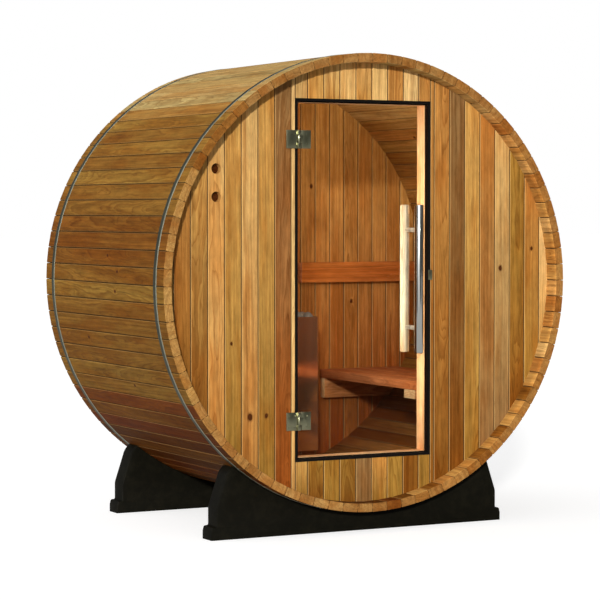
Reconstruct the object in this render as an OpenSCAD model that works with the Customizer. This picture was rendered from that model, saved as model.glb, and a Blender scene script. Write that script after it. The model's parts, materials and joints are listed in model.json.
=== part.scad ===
// Barrel sauna: a round stave cabin on two moulded cradles, with a glass door.
// Millimetres. +Z is up, the door faces -Y, and the barrel's axis runs along Y.
// The origin lies on the ground, under the middle of the barrel.

/* [Barrel] */
// Outside diameter over the corners of the staves
barrel_d = 1828.8; // [1500:10:2200]
// Length of the staves
barrel_len = 1200; // [1000:10:2400]
// Thickness of the staves
stave_t = 35; // [28:1:45]
// Height of the barrel's lowest point above the ground
barrel_lift = 84; // [60:1:120]
// Depth of the groove in the staves that takes the end walls
croze_depth = 8; // [4:1:12]

/* [End walls] */
// Thickness of the end walls
wall_t = 38; // [30:1:45]
// Distance from the ends of the staves to the outer face of each end wall
wall_recess = 70; // [60:1:120]

/* [Doorway] */
// Width of the opening cut in the front wall
doorway_w = 620; // [560:5:700]
// Height of the opening cut in the front wall
doorway_h = 1438; // [1200:5:1500]
// Height of the middle of the doorway above the barrel's axis
doorway_rise = 13; // [0:1:30]
// Width of the black strip round the opening
seal_w = 10; // [6:1:16]
// Depth of the black strip, from the wall's face inwards
seal_depth = 17; // [17:1:20]
// Width of the wooden frame behind the strip
jamb_w = 17; // [16:1:35]
// Depth of the wooden frame
jamb_depth = 59; // [45:1:70]
// Width of the thin lip at the strip's back, which closes the gap round the glass
lip_w = 15; // [10:1:16]
// Thickness of the lip
lip_t = 3; // [2:0.5:5]

/* [Glass door] */
// Thickness of the glass
glass_t = 8; // [6:1:8]
// Gap round the edge of the glass
glass_gap = 5; // [5:1:8]
// Distance from the wall's outer face back to the glass
glass_set = 4; // [3:1:5]

/* [Door hinges] */
// Height of each hinge
hinge_h = 72; // [60:1:90]
// Height of each hinge above or below the middle of the door
hinge_offset = 557; // [450:1:600]
// Distance of the hinge pin in front of the wall's face
hinge_axis_out = 5.5; // [5.5:0.5:7]
// Radius of the moving knuckle
knuckle_r = 5; // [4:0.5:5]
// Radius of the hinge pin
hinge_pin_r = 2.5; // [2:0.5:3]
// Running gap between the pin and the knuckle that turns on it
pin_gap = 0.05; // [0.02:0.01:0.1]
// Height of each fixed knuckle, above and below the moving one
fixed_knuckle_h = 20; // [16:1:24]
// Distance from the pin to the free side of the fixed knuckles
fixed_knuckle_w = 6.5; // [5:0.5:7]
// Gap between the knuckles along the pin
knuckle_gap = 1; // [0.5:0.5:2]
// Thickness of the plate screwed to the wall
leaf_t = 5; // [3:0.5:6]
// Width of the plate screwed to the wall, from the pin
leaf_w = 55; // [40:1:60]
// Thickness of the plate on the outside of the glass
clamp_front_t = 6; // [5:0.5:8]
// Thickness of the plate on the inside of the glass
clamp_back_t = 4; // [3:0.5:4]
// Distance from the pin to the plate on the outside of the glass
clamp_out = 13.5; // [13:0.5:16]
// Width of the plate on the outside of the glass
clamp_w = 42; // [36:1:60]
// Radius of the bolts through the glass
clamp_bolt_r = 4; // [3:0.5:5]

/* [Door handle] */
// Diameter of the handle tubes
handle_d = 37.5; // [25:0.5:38]
// Length of the handle tubes
handle_len = 600; // [300:10:900]
// Distance of the handle from the free edge of the glass
handle_inset = 68; // [50:1:90]
// Distance of the handle tubes' axes from the middle of the glass
handle_reach = 57; // [45:1:57]
// Distance between the two studs
stud_spacing = 396; // [200:2:600]
// Radius of the studs
stud_r = 9; // [5:0.5:9]

/* [Hoops] */
// Width of the steel hoops
hoop_w = 30; // [12:1:32]
// Thickness of the steel hoops
hoop_t = 1.2; // [0.8:0.1:2]
// Distance from the ends of the staves to the middle of each hoop
hoop_inset = 79; // [40:1:80]

/* [Cradles] */
// Thickness of each cradle along the barrel
cradle_t = 85; // [60:1:120]
// Distance from the ends of the staves to each cradle's outer face
cradle_inset = 95; // [90:1:200]
// Angle up each side of the barrel that a cradle reaches
cradle_angle = 39; // [30:1:45]
// Thickness of each cradle's tip, square to the barrel
cradle_tip_t = 36; // [20:1:40]
// Half the width of a cradle above its feet
cradle_half_w = 643; // [600:1:700]
// Height at which a cradle's sides turn upright
cradle_shoulder_z = 125; // [100:1:150]
// How far each foot stands out at the side
foot_out = 24; // [10:1:40]
// Height of each foot
foot_h = 52; // [30:1:70]

/* [Bench and braces] */
// Height of the bench top below the barrel's axis
bench_drop = 420; // [350:5:500]
// Gap between the outermost bench slat and the staves
bench_side_gap = 2.8; // [2:0.2:8]
// Width of a bench slat or support
batten_w = 89; // [80:1:100]
// Thickness of a bench slat or support
batten_t = 38; // [30:1:45]
// Number of slats in the bench
slat_count = 4; // [3:1:4]
// Gap between the bench slats
slat_gap = 14; // [8:1:20]
// Gap between the bench slats and each end wall
slat_end_gap = 5; // [2:1:10]
// Distance from the front wall to the support under the bench
support_inset = 160; // [60:5:300]
// Thickness of the braces on the back wall
brace_t = 38; // [15:1:45]
// Distance from the barrel's middle to the near end of each brace
brace_start_x = 241; // [210:1:300]
// Height of the middle of the braces above the barrel's axis
brace_rise = 14; // [-50:1:50]

/* [Heater] */
// Width of the heater
heater_w = 380; // [320:5:400]
// Depth of the heater
heater_depth = 290; // [220:5:320]
// Height of the heater
heater_h = 580; // [450:5:620]
// Height of the heater's top below the barrel's axis
heater_drop = 170; // [150:5:220]
// Thickness of the heater's sheet steel
heater_sheet = 2; // [1:0.5:3]
// Depth of the stone tray
tray_depth = 90; // [60:5:120]
// How far the stones stand above the tray
stones_proud = 30; // [20:5:60]

/* [Vents] */
// Diameter of the two vent holes
vent_d = 41; // [30:1:60]
// Distance of the vents from the barrel's middle
vent_x = 657; // [600:1:690]
// Height of the middle of the vent pair above the barrel's axis
vent_rise = 397; // [350:1:420]
// Distance between the two vents
vent_spacing = 109; // [80:1:140]
// How far the wooden plugs lie behind the wall's face
plug_recess = 23; // [6:1:26]
// Thickness of the wooden plugs
plug_t = 14; // [10:1:16]
// Gap round the wooden plugs
plug_gap = 0.2; // [0.1:0.1:0.5]

/* [Hidden] */
$fn = 96;

// the barrel: staves laid flat side by side, so its outline is a polygon
panel_count = 12;
staves_per_panel = 7;
stave_count = panel_count * staves_per_panel;
corner = cos(180 / stave_count);
outer_r = barrel_d / 2;
inner_r = (outer_r * corner - stave_t) / corner;
croze_r = inner_r + croze_depth / corner;
barrel_z = barrel_lift + outer_r;
front_y = -barrel_len / 2;
back_y = barrel_len / 2;
seat_gap = 0.3;
past = 1;

// the end walls
face_y = front_y + wall_recess;
inside_y = face_y + wall_t;
back_face_y = back_y - wall_recess;
back_inside_y = back_face_y - wall_t;

// the doorway
door_z = barrel_z + doorway_rise;
doorway_x = doorway_w / 2;
seal_back_y = face_y + seal_depth;
jamb_front_y = seal_back_y + lip_t;
jamb_back_y = jamb_front_y + jamb_depth;

// the glass
glass_w = doorway_w - 2 * (seal_w + glass_gap);
glass_h = doorway_h - 2 * (seal_w + glass_gap);
glass_y = face_y + glass_set;
glass_back_y = glass_y + glass_t;
hole_gap = 0.3;

// the hinges
hinge_x = -glass_w / 2 - glass_gap / 2;
hinge_y = face_y - hinge_axis_out;
moving_knuckle_h = hinge_h - 2 * (fixed_knuckle_h + knuckle_gap);
web_t = knuckle_r;
leaf_edge_x = hinge_x - knuckle_r - 1;
clamp_x = hinge_x + clamp_out;
clamp_back_x = -doorway_x + jamb_w + 5;
clamp_bolt_x = clamp_x + clamp_w * 0.62;
clamp_bolt_dz = hinge_h * 0.27;

// the handle
handle_x = glass_w / 2 - handle_inset;
glass_mid_y = glass_y + glass_t / 2;
stud_socket = 6;

// the bench, the braces and the heater
slat_pitch = batten_w + slat_gap;
bench_outer_x = sqrt(pow(inner_r * corner, 2) - pow(bench_drop + batten_t, 2)) - bench_side_gap;
bench_front_x = bench_outer_x - slat_count * slat_pitch + slat_gap;
bench_z = barrel_z - bench_drop;
support_z = bench_z - batten_t;
brace_z = barrel_z + brace_rise;
heater_top_z = barrel_z - heater_drop;
heater_front_y = back_inside_y - heater_depth;
stone_gap = 2;

PANELS = [for (i = [1 : panel_count]) str("stave_panel_", i < 10 ? "0" : "", i)];

// ---- shared shapes ----

// points on a circle from angle a0 to a1, one at each stave joint
function arc_points(r, a0, a1, steps) =
    [for (i = [0 : steps]) let (a = a0 + (a1 - a0) * i / steps) [r * cos(a), r * sin(a)]];

// the barrel's outline at radius r, with a corner at each stave joint
module stave_ring(r) {
    polygon(arc_points(r, 0, 360 * (1 - 1 / stave_count), stave_count - 1));
}

// pushes a drawing, made round the barrel's axis, from y0 to y1
module along_barrel(y0, y1) {
    translate([0, y1, barrel_z]) rotate([90, 0, 0]) linear_extrude(y1 - y0) children();
}

// a block between two corners
module block(low, high) {
    translate(low) cube(high - low);
}

// a round bar along Y from y0 to y1
module bar_y(x, z, r, y0, y1) {
    translate([x, y1, z]) rotate([90, 0, 0]) cylinder(r = r, h = y1 - y0);
}

// keeps only what lies inside the staves
module inside_barrel() {
    intersection() {
        children();
        along_barrel(inside_y, back_inside_y) stave_ring(inner_r);
    }
}

// ---- the barrel ----

// one run of flat staves, with the two grooves that take the end walls
module stave_panel(i) {
    a0 = 360 / panel_count * i;
    a1 = 360 / panel_count * (i + 1);
    color(i % 2 == 0 ? "peru" : "burlywood") difference() {
        along_barrel(front_y, back_y) polygon(concat(
            arc_points(outer_r, a0, a1, staves_per_panel),
            arc_points(inner_r, a1, a0, staves_per_panel)));
        along_barrel(face_y, inside_y) stave_ring(croze_r);
        along_barrel(back_inside_y, back_face_y) stave_ring(croze_r);
    }
}

// a flat steel band round the outside of the staves
module hoop(mid_y) {
    color("dimgray") along_barrel(mid_y - hoop_w / 2, mid_y + hoop_w / 2) difference() {
        stave_ring(outer_r + hoop_t / corner);
        stave_ring(outer_r);
    }
}

module front_hoop() {
    hoop(front_y + hoop_inset);
}

module rear_hoop() {
    hoop(back_y - hoop_inset);
}

// a moulded plate with a round seat for the barrel and a foot at each side
module cradle(y0) {
    seat = [for (r = [outer_r, outer_r + cradle_tip_t])
        [r * sin(cradle_angle), barrel_z - r * cos(cradle_angle)]];
    side = [
        [cradle_half_w + foot_out, 0],
        [cradle_half_w + foot_out, foot_h * 0.6],
        [cradle_half_w + foot_out * 0.8, foot_h],
        [cradle_half_w, foot_h],
        [cradle_half_w, cradle_shoulder_z],
        seat[1],
        seat[0]];
    mirrored = [for (i = [len(side) - 1 : -1 : 0]) [-side[i][0], side[i][1]]];
    color("#16140c") translate([0, y0 + cradle_t, 0]) rotate([90, 0, 0])
        linear_extrude(cradle_t) difference() {
            polygon(concat(side, mirrored));
            translate([0, barrel_z]) circle(outer_r + seat_gap, $fn = 180);
        }
}

module front_cradle() {
    cradle(front_y + cradle_inset);
}

module rear_cradle() {
    cradle(back_y - cradle_inset - cradle_t);
}

// ---- the end walls ----

module front_wall_part(low_x, high_x, low_z, high_z) {
    color("chocolate") intersection() {
        along_barrel(face_y, inside_y) stave_ring(croze_r);
        block([low_x, face_y - past, low_z], [high_x, inside_y + past, high_z]);
    }
}

module front_wall_left() {
    difference() {
        front_wall_part(-barrel_d, -doorway_x, 0, 2 * barrel_z);
        for (side = [-1, 1])
            bar_y(-vent_x, vent_z(side), vent_d / 2, face_y - past, inside_y + past);
    }
}

module front_wall_right() {
    front_wall_part(doorway_x, barrel_d, 0, 2 * barrel_z);
}

module front_wall_over_door() {
    front_wall_part(-doorway_x, doorway_x, door_z + doorway_h / 2, 2 * barrel_z);
}

module front_wall_under_door() {
    front_wall_part(-doorway_x, doorway_x, 0, door_z - doorway_h / 2);
}

module back_wall() {
    color("sienna") along_barrel(back_inside_y, back_face_y) stave_ring(croze_r);
}

// height of the upper (1) or lower (-1) vent
function vent_z(side) = barrel_z + vent_rise + side * vent_spacing / 2;

// wooden discs that close the two vents, sunk below the wall's face
module vent_plugs() {
    color("tan") for (side = [-1, 1])
        bar_y(-vent_x, vent_z(side), vent_d / 2 - plug_gap,
            face_y + plug_recess, face_y + plug_recess + plug_t);
}

// ---- the doorway ----

// a rectangle of the doorway's shape, drawn smaller by an inset on each side
module doorway_shape(inset) {
    square([doorway_w - 2 * inset, doorway_h - 2 * inset], center = true);
}

module in_doorway(y0, y1) {
    translate([0, y1, door_z]) rotate([90, 0, 0]) linear_extrude(y1 - y0) children();
}

module door_seal() {
    color("#141414") difference() {
        in_doorway(face_y, jamb_front_y) doorway_shape(0);
        in_doorway(face_y - past, seal_back_y) doorway_shape(seal_w);
        in_doorway(face_y - past, jamb_front_y + past) doorway_shape(lip_w);
    }
}

// an upright of the wooden frame
module jamb(side) {
    color("peachpuff") in_doorway(jamb_front_y, jamb_back_y)
        translate([side * (doorway_x - jamb_w / 2), 0])
            square([jamb_w, doorway_h], center = true);
}

// a rail of the wooden frame, between the uprights
module rail(side) {
    color("peachpuff") in_doorway(jamb_front_y, jamb_back_y)
        translate([0, side * (doorway_h - jamb_w) / 2])
            square([doorway_w - 2 * jamb_w, jamb_w], center = true);
}

module door_jamb_left() {
    jamb(-1);
}

module door_jamb_right() {
    jamb(1);
}

module door_head() {
    rail(1);
}

module door_sill() {
    rail(-1);
}

// a small steel plate on the strip beside the free edge of the glass
module strike_plate() {
    color("silver") block(
        [doorway_x - seal_w, face_y - 2, door_z - 5],
        [doorway_x + seal_w - 1, face_y, door_z + 35]);
}

// ---- the glass door ----

module hinge_holes() {
    for (side = [-1, 1], row = [-1, 1])
        bar_y(clamp_bolt_x, door_z + side * hinge_offset + row * clamp_bolt_dz,
            clamp_bolt_r + hole_gap, glass_y - past, glass_back_y + past);
}

// height of the upper (1) or lower (-1) handle stud
function stud_z(side) = door_z + side * stud_spacing / 2;

module door_glass() {
    color([0.35, 0.22, 0.14, 0.5]) difference() {
        in_doorway(glass_y, glass_back_y) doorway_shape(seal_w + glass_gap);
        hinge_holes();
        for (side = [-1, 1])
            bar_y(handle_x, stud_z(side), stud_r + hole_gap, glass_y - past, glass_back_y + past);
    }
}

// the fixed half: a plate on the wall, two square knuckles and the pin through them
module hinge_leaf(mid_z) {
    low_z = mid_z - hinge_h / 2;
    high_z = mid_z + hinge_h / 2;
    color("silver") {
        block([hinge_x - leaf_w, face_y - leaf_t, low_z], [leaf_edge_x, face_y, high_z]);
        for (z = [low_z, high_z - fixed_knuckle_h])
            block([leaf_edge_x - 1, hinge_y - knuckle_r, z],
                [hinge_x + fixed_knuckle_w, face_y, z + fixed_knuckle_h]);
        translate([hinge_x, hinge_y, low_z]) cylinder(r = hinge_pin_r, h = hinge_h);
    }
}

module upper_hinge_leaf() {
    hinge_leaf(door_z + hinge_offset);
}

module lower_hinge_leaf() {
    hinge_leaf(door_z - hinge_offset);
}

// the moving half: two plates bolted through the glass, and the middle knuckle
module hinge_clamp(mid_z) {
    low_z = mid_z - hinge_h / 2;
    high_z = mid_z + hinge_h / 2;
    color("silver") difference() {
        union() {
            block([clamp_x, glass_y - clamp_front_t, low_z], [clamp_x + clamp_w, glass_y, high_z]);
            block([clamp_back_x, glass_back_y, low_z],
                [clamp_x + clamp_w, glass_back_y + clamp_back_t, high_z]);
            for (row = [-1, 1])
                bar_y(clamp_bolt_x, mid_z + row * clamp_bolt_dz, clamp_bolt_r,
                    glass_y - past, glass_back_y + past);
            translate([hinge_x, hinge_y, mid_z])
                cylinder(r = knuckle_r, h = moving_knuckle_h, center = true);
            block([hinge_x, hinge_y - web_t / 2, mid_z - moving_knuckle_h / 2],
                [clamp_x + 4, face_y, mid_z + moving_knuckle_h / 2]);
        }
        translate([hinge_x, hinge_y, low_z - past])
            cylinder(r = hinge_pin_r + pin_gap, h = hinge_h + 2 * past);
    }
}

module upper_hinge_clamp() {
    hinge_clamp(door_z + hinge_offset);
}

module lower_hinge_clamp() {
    hinge_clamp(door_z - hinge_offset);
}

// an upright tube on one side of the glass (-1 outside, 1 inside)
module handle_tube(side) {
    mid_y = glass_mid_y + side * handle_reach;
    inner_face_y = mid_y - side * handle_d / 2;
    difference() {
        translate([handle_x, mid_y, door_z - handle_len / 2])
            cylinder(r = handle_d / 2, h = handle_len);
        for (end = [-1, 1])
            bar_y(handle_x, stud_z(end), stud_r + hole_gap / 2,
                min(mid_y, inner_face_y) + (side > 0 ? -past : handle_d / 2 - stud_socket),
                max(mid_y, inner_face_y) + (side > 0 ? stud_socket - handle_d / 2 : past));
    }
}

module outer_handle() {
    color("lightgray") handle_tube(-1);
}

module inner_handle() {
    color("wheat") handle_tube(1);
}

// two steel studs through the glass, one end in each tube
module handle_studs() {
    reach = handle_reach - handle_d / 2 + stud_socket;
    color("silver") for (end = [-1, 1])
        bar_y(handle_x, stud_z(end), stud_r, glass_mid_y - reach, glass_mid_y + reach);
}

// ---- the inside ----

// slats along the barrel, laid on the supports
module bench_slats() {
    color("sandybrown") for (i = [0 : slat_count - 1])
        block([bench_front_x + i * slat_pitch, inside_y + slat_end_gap, bench_z - batten_t],
            [bench_front_x + i * slat_pitch + batten_w, back_inside_y - slat_end_gap, bench_z]);
}

// a flat batten near the front and a rail on the back wall, cut to the staves at their outer ends
module bench_supports() {
    support_x = bench_front_x + 6;
    support_y = inside_y + support_inset;
    color("bisque") inside_barrel() {
        block([support_x, support_y, support_z - batten_t],
            [outer_r, support_y + batten_w, support_z]);
        block([support_x, back_inside_y - batten_t, support_z - batten_w],
            [outer_r, back_inside_y + past, support_z]);
    }
}

// a flat board across the back wall, at half height (side 1 right, -1 left)
module back_brace(side) {
    color("rosybrown") inside_barrel() block(
        [side > 0 ? brace_start_x : -outer_r, back_inside_y - brace_t, brace_z - batten_w / 2],
        [side > 0 ? outer_r : -brace_start_x, back_inside_y + past, brace_z + batten_w / 2]);
}

module back_brace_left() {
    back_brace(-1);
}

module back_brace_right() {
    back_brace(1);
}

// a steel case on the back wall, with a tray sunk in its top
module heater_body() {
    color("gainsboro") difference() {
        block([-heater_w / 2, heater_front_y, heater_top_z - heater_h],
            [heater_w / 2, back_inside_y, heater_top_z]);
        block([-heater_w / 2 + heater_sheet, heater_front_y + heater_sheet,
                heater_top_z - tray_depth],
            [heater_w / 2 - heater_sheet, back_inside_y - heater_sheet, heater_top_z + past]);
    }
}

// the heap of stones that fills the tray
module heater_stones() {
    margin = heater_sheet + stone_gap;
    color("dimgray") block(
        [-heater_w / 2 + margin, heater_front_y + margin, heater_top_z - tray_depth],
        [heater_w / 2 - margin, back_inside_y - margin, heater_top_z + stones_proud]);
}

for (i = [0 : panel_count - 1])
    stave_panel(i);
front_wall_left();
front_wall_right();
front_wall_over_door();
front_wall_under_door();
back_wall();
front_hoop();
rear_hoop();
front_cradle();
rear_cradle();
door_jamb_left();
door_jamb_right();
door_head();
door_sill();
door_seal();
strike_plate();
upper_hinge_leaf();
lower_hinge_leaf();
upper_hinge_clamp();
lower_hinge_clamp();
door_glass();
outer_handle();
inner_handle();
handle_studs();
bench_slats();
bench_supports();
back_brace_left();
back_brace_right();
heater_body();
heater_stones();
vent_plugs();
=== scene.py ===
import json
import math
import random

import bmesh
import bpy
from mathutils import Matrix, Vector, noise


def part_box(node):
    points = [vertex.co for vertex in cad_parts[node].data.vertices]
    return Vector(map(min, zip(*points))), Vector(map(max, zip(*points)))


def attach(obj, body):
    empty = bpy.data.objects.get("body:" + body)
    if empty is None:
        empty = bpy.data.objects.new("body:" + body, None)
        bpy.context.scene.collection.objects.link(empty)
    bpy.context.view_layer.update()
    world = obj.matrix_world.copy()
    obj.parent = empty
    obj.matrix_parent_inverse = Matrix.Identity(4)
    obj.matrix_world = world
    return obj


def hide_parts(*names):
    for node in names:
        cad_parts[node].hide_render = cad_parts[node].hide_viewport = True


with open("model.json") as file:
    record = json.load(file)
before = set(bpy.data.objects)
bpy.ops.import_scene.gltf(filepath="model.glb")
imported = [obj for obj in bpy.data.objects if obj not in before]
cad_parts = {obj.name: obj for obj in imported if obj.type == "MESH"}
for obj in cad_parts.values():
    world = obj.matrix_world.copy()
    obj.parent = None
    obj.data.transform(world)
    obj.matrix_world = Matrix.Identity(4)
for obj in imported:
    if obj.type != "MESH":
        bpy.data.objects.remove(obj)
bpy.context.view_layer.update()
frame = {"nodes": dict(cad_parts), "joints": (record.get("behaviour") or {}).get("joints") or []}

# ---- Cradles ----
# Two moulded plastic cradles carry the barrel, one under each end. Each is a thick near-black
# plate with a round seat, upright sides and a low foot at each side, its edges rounded by the mould.


class Reading:
    """The output of a node in a material. A sum on it adds a Math node."""

    def __init__(self, finish, socket):
        self.finish = finish
        self.socket = socket

    def math(self, operation, *values):
        return self.finish.node("ShaderNodeMath", {"operation": operation}, dict(enumerate(values)))

    def __add__(self, other):
        return self.math("ADD", self, other)

    def __radd__(self, other):
        return self.math("ADD", other, self)

    def __sub__(self, other):
        return self.math("SUBTRACT", self, other)

    def __rsub__(self, other):
        return self.math("SUBTRACT", other, self)

    def __mul__(self, other):
        return self.math("MULTIPLY", self, other)

    def __rmul__(self, other):
        return self.math("MULTIPLY", other, self)

    def __truediv__(self, other):
        return self.math("DIVIDE", self, other)

    def __rtruediv__(self, other):
        return self.math("DIVIDE", other, self)

    def __pow__(self, other):
        return self.math("POWER", self, other)


class Finish:
    """A material and its nodes."""

    def __init__(self, name):
        self.material = bpy.data.materials.new(name)
        self.material.use_nodes = True
        self.tree = self.material.node_tree
        self.shader = self.tree.nodes["Principled BSDF"]

    def fill(self, node, values):
        for key, value in values.items():
            if isinstance(value, Reading):
                self.tree.links.new(value.socket, node.inputs[key])
            else:
                node.inputs[key].default_value = value

    def node(self, kind, settings, values, output=0):
        added = self.tree.nodes.new(kind)
        for setting, value in settings.items():
            setattr(added, setting, value)
        self.fill(added, values)
        return Reading(self, added.outputs[output])

    def surface(self, values):
        self.fill(self.shader, values)
        return self.material

    def place(self):
        return self.node("ShaderNodeTexCoord", {}, {}, "Object")

    def stretched(self, place, scale):
        return self.node("ShaderNodeMapping", {}, {"Vector": place, "Scale": scale})

    def cloud(self, place, scale, detail=2.0, roughness=0.5):
        return self.node("ShaderNodeTexNoise", {}, {
            "Vector": place, "Scale": scale, "Detail": detail, "Roughness": roughness})

    def fade(self, value, start, end):
        return self.node("ShaderNodeMapRange", {"interpolation_type": "SMOOTHSTEP"},
                         {0: value, 1: start, 2: end})

    def blend(self, first, second, share, how="MIX"):
        return self.node("ShaderNodeMix", {"data_type": "RGBA", "blend_type": how},
                         {0: share, 6: first, 7: second}, 2)

    def brightened(self, colour, share):
        return self.node("ShaderNodeVectorMath", {"operation": "SCALE"}, {0: colour, "Scale": share})

    def relief(self, height, depth, strength=1.0):
        return self.node("ShaderNodeBump", {}, {
            "Height": height, "Distance": depth, "Strength": strength})


def paint(red, green, blue):
    """A colour given as it looks, from 0 to 255, made ready for a shader."""
    return tuple(((c / 255 + 0.055) / 1.055) ** 2.4 for c in (red, green, blue)) + (1.0,)


def add_piece(name, shape, material, body, nodes, sharp_angle=30):
    """Turns a bmesh into a named piece that stands for its CAD nodes."""
    mesh = bpy.data.meshes.new(name)
    shape.to_mesh(mesh)
    shape.free()
    mesh.materials.append(material)
    mesh.shade_smooth()
    mesh.set_sharp_from_angle(angle=math.radians(sharp_angle))
    piece = bpy.data.objects.new(name, mesh)
    bpy.context.scene.collection.objects.link(piece)
    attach(piece, body)
    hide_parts(*nodes)
    return piece


def soften(shape, edges, width, steps=2):
    bmesh.ops.bevel(shape, geom=edges, offset=width, offset_type="OFFSET", segments=steps,
                    profile=0.5, affect="EDGES", material=-1, clamp_overlap=True)


first_panel_low, first_panel_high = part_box("stave_panel_01")
barrel_z = first_panel_low.z
barrel_r = first_panel_high.x
seat_gap = 0.0003
seat_r = barrel_r + seat_gap
seat_angle = math.radians(39)
tip_t = 0.036
tip_r = barrel_r + tip_t
cradle_half_w = 0.643
shoulder_z = 0.125
foot_h = 0.052
toe_h = foot_h * 0.6
toe_slope = 0.005
shoulder_round = 0.006
rim_round = 0.004

plastic = Finish("moulded_plastic")
where = plastic.place()
mottle = plastic.cloud(where, 9, 4)
pebble = plastic.cloud(where, 900, 2)
scuff = plastic.fade(plastic.cloud(plastic.stretched(where, (6, 6, 40)), 6, 5, 0.7), 0.56, 0.78)
dust = plastic.fade(plastic.cloud(where, 35, 5, 0.7) + mottle * 0.4, 0.62, 0.9)
body_colour = plastic.blend(paint(11, 10, 5), paint(16, 15, 8), mottle)
body_colour = plastic.blend(body_colour, paint(34, 31, 20), scuff * 0.2)
plastic.surface({
    "Base Color": plastic.blend(body_colour, paint(50, 45, 32), dust * 0.1),
    "Roughness": 0.46 + pebble * 0.14 + scuff * 0.2,
    "Normal": plastic.relief(pebble + mottle * 2, 0.0003, 0.4),
    "Specular IOR Level": 0.07})

for cradle in ("front_cradle", "rear_cradle"):
    low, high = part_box(cradle)
    shape = bmesh.new()
    tip = shape.verts.new((seat_r * math.sin(seat_angle), low.y,
                           barrel_z - seat_r * math.cos(seat_angle)))
    bmesh.ops.spin(shape, geom=[tip], cent=(0, low.y, barrel_z), axis=(0, 1, 0),
                   angle=2 * seat_angle, steps=60, use_merge=False)
    outline = sorted(shape.verts, key=lambda v: -v.co.x)
    side = [
        (tip_r * math.sin(seat_angle), barrel_z - tip_r * math.cos(seat_angle)),
        (cradle_half_w, shoulder_z),
        (cradle_half_w, foot_h),
        (high.x - toe_slope, foot_h),
        (high.x, toe_h),
        (high.x, 0.0)]
    left_side = [shape.verts.new((-x, low.y, z)) for x, z in side]
    right_side = [shape.verts.new((x, low.y, z)) for x, z in reversed(side)]
    front_face = shape.faces.new(outline + left_side + right_side)
    pushed = bmesh.ops.extrude_face_region(shape, geom=[front_face])
    moved = [v for v in pushed["geom"] if isinstance(v, bmesh.types.BMVert)]
    bmesh.ops.translate(shape, verts=moved, vec=(0, high.y - low.y, 0))
    bmesh.ops.recalc_face_normals(shape, faces=shape.faces)
    shoulder_edges = [e for e in shape.edges if abs(e.verts[0].co.y - e.verts[1].co.y) > 0.01
                      and e.calc_face_angle(0) > 0.3 and e.verts[0].co.z > 0.01]
    soften(shape, shoulder_edges, shoulder_round)
    rim = [e for e in shape.edges if abs(e.verts[0].co.y - e.verts[1].co.y) < 1e-6
           and e.calc_face_angle(0) > 1.2 and max(v.co.z for v in e.verts) > 0.01]
    soften(shape, rim, rim_round, 3)
    add_piece(cradle + "_moulding", shape, plastic.material, "barrel", [cradle])

# ---- Staves ----
# Eighty-four cedar staves, 35 mm thick, lie side by side along the barrel. Each is cut from its
# own log, with tapered sides, a tongue on one side and a small chamfer along each outer edge.

cedars = {
    "pale": paint(228, 190, 126),
    "straw": paint(216, 176, 110),
    "golden": paint(202, 155, 84),
    "amber": paint(186, 131, 66),
    "olive": paint(156, 117, 50),
    "brown": paint(136, 88, 32),
    "red": paint(154, 88, 36),
    "dark": paint(106, 61, 22),
    "rust": paint(142, 70, 26),
    "weathered_and_painted_sheen": paint(196, 172, 112),
    "grey": paint(142, 108, 66)}


def plank_profile(left, right, thickness, chamfer, gap, tongue, taper=0.0, cuts=5):
    """Corners of a board's end, as (across, depth) pairs, with a tongue on its right side."""
    left += gap
    right -= gap
    inner_left = left + chamfer
    inner_right = right - chamfer
    across = [inner_left + (inner_right - inner_left) * i / cuts for i in range(cuts + 1)]
    tongue_top = thickness * 0.36
    tongue_foot = thickness * 0.64
    corners = [(x, 0.0) for x in across]
    corners += [(right, chamfer), (right, tongue_top), (right + tongue, tongue_top + 0.001),
                (right + tongue, tongue_foot - 0.001), (right, tongue_foot),
                (right, thickness - chamfer)]
    corners += [(x, thickness) for x in reversed(across)]
    corners += [(left, thickness - chamfer), (left, chamfer)]
    return [(x * (1 - depth * taper), depth) for x, depth in corners]


def marks(layers, name):
    """The marks of that name on a board's points, made new if it has none."""
    if name in layers.keys():
        return layers[name]
    return layers.new(name)


def grain(shape, across, depth, along, log, tints, knot=None, end_pale=0.5):
    """Writes where each point of a board lay in its log, and the board's colour at each end."""
    layers = shape.verts.layers
    place = marks(layers.float_vector, "log_place")
    knot_place = marks(layers.float_vector, "knot_place")
    tint = marks(layers.float_color, "tint")
    across = Vector(across)
    depth = Vector(depth)
    along = Vector(along)
    lengths = [v.co.dot(along) for v in shape.verts]
    low = min(lengths)
    span = max(lengths) - low
    middle = sum((v.co for v in shape.verts), Vector()) / len(shape.verts)
    if log.random() < 0.55:
        heart = Vector((log.uniform(-0.03, 0.03), log.uniform(0.03, 0.11), 0))
    else:
        heart = Vector((log.uniform(0.10, 0.24) * log.choice((-1, 1)), log.uniform(-0.04, 0.04), 0))
    lean = Vector((log.uniform(-0.012, 0.012), log.uniform(-0.03, 0.03), 0))
    start = log.uniform(0, 40)
    for v in shape.verts:
        away = v.co - middle
        w = away.dot(along)
        v[place] = heart + lean * w + Vector((away.dot(across), away.dot(depth), w + start))
        share = (v.co.dot(along) - low) / span
        v[tint] = (*Vector(tints[0]).lerp(Vector(tints[1]), share)[:3], end_pale)
        if knot:
            size = knot[1]
            v[knot_place] = ((v.co.dot(across) - knot[0][0]) / size, away.dot(depth) / 0.2,
                             (v.co.dot(along) - knot[0][1]) / size * 0.7)
        else:
            v[knot_place] = (9, 9, 9)


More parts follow.
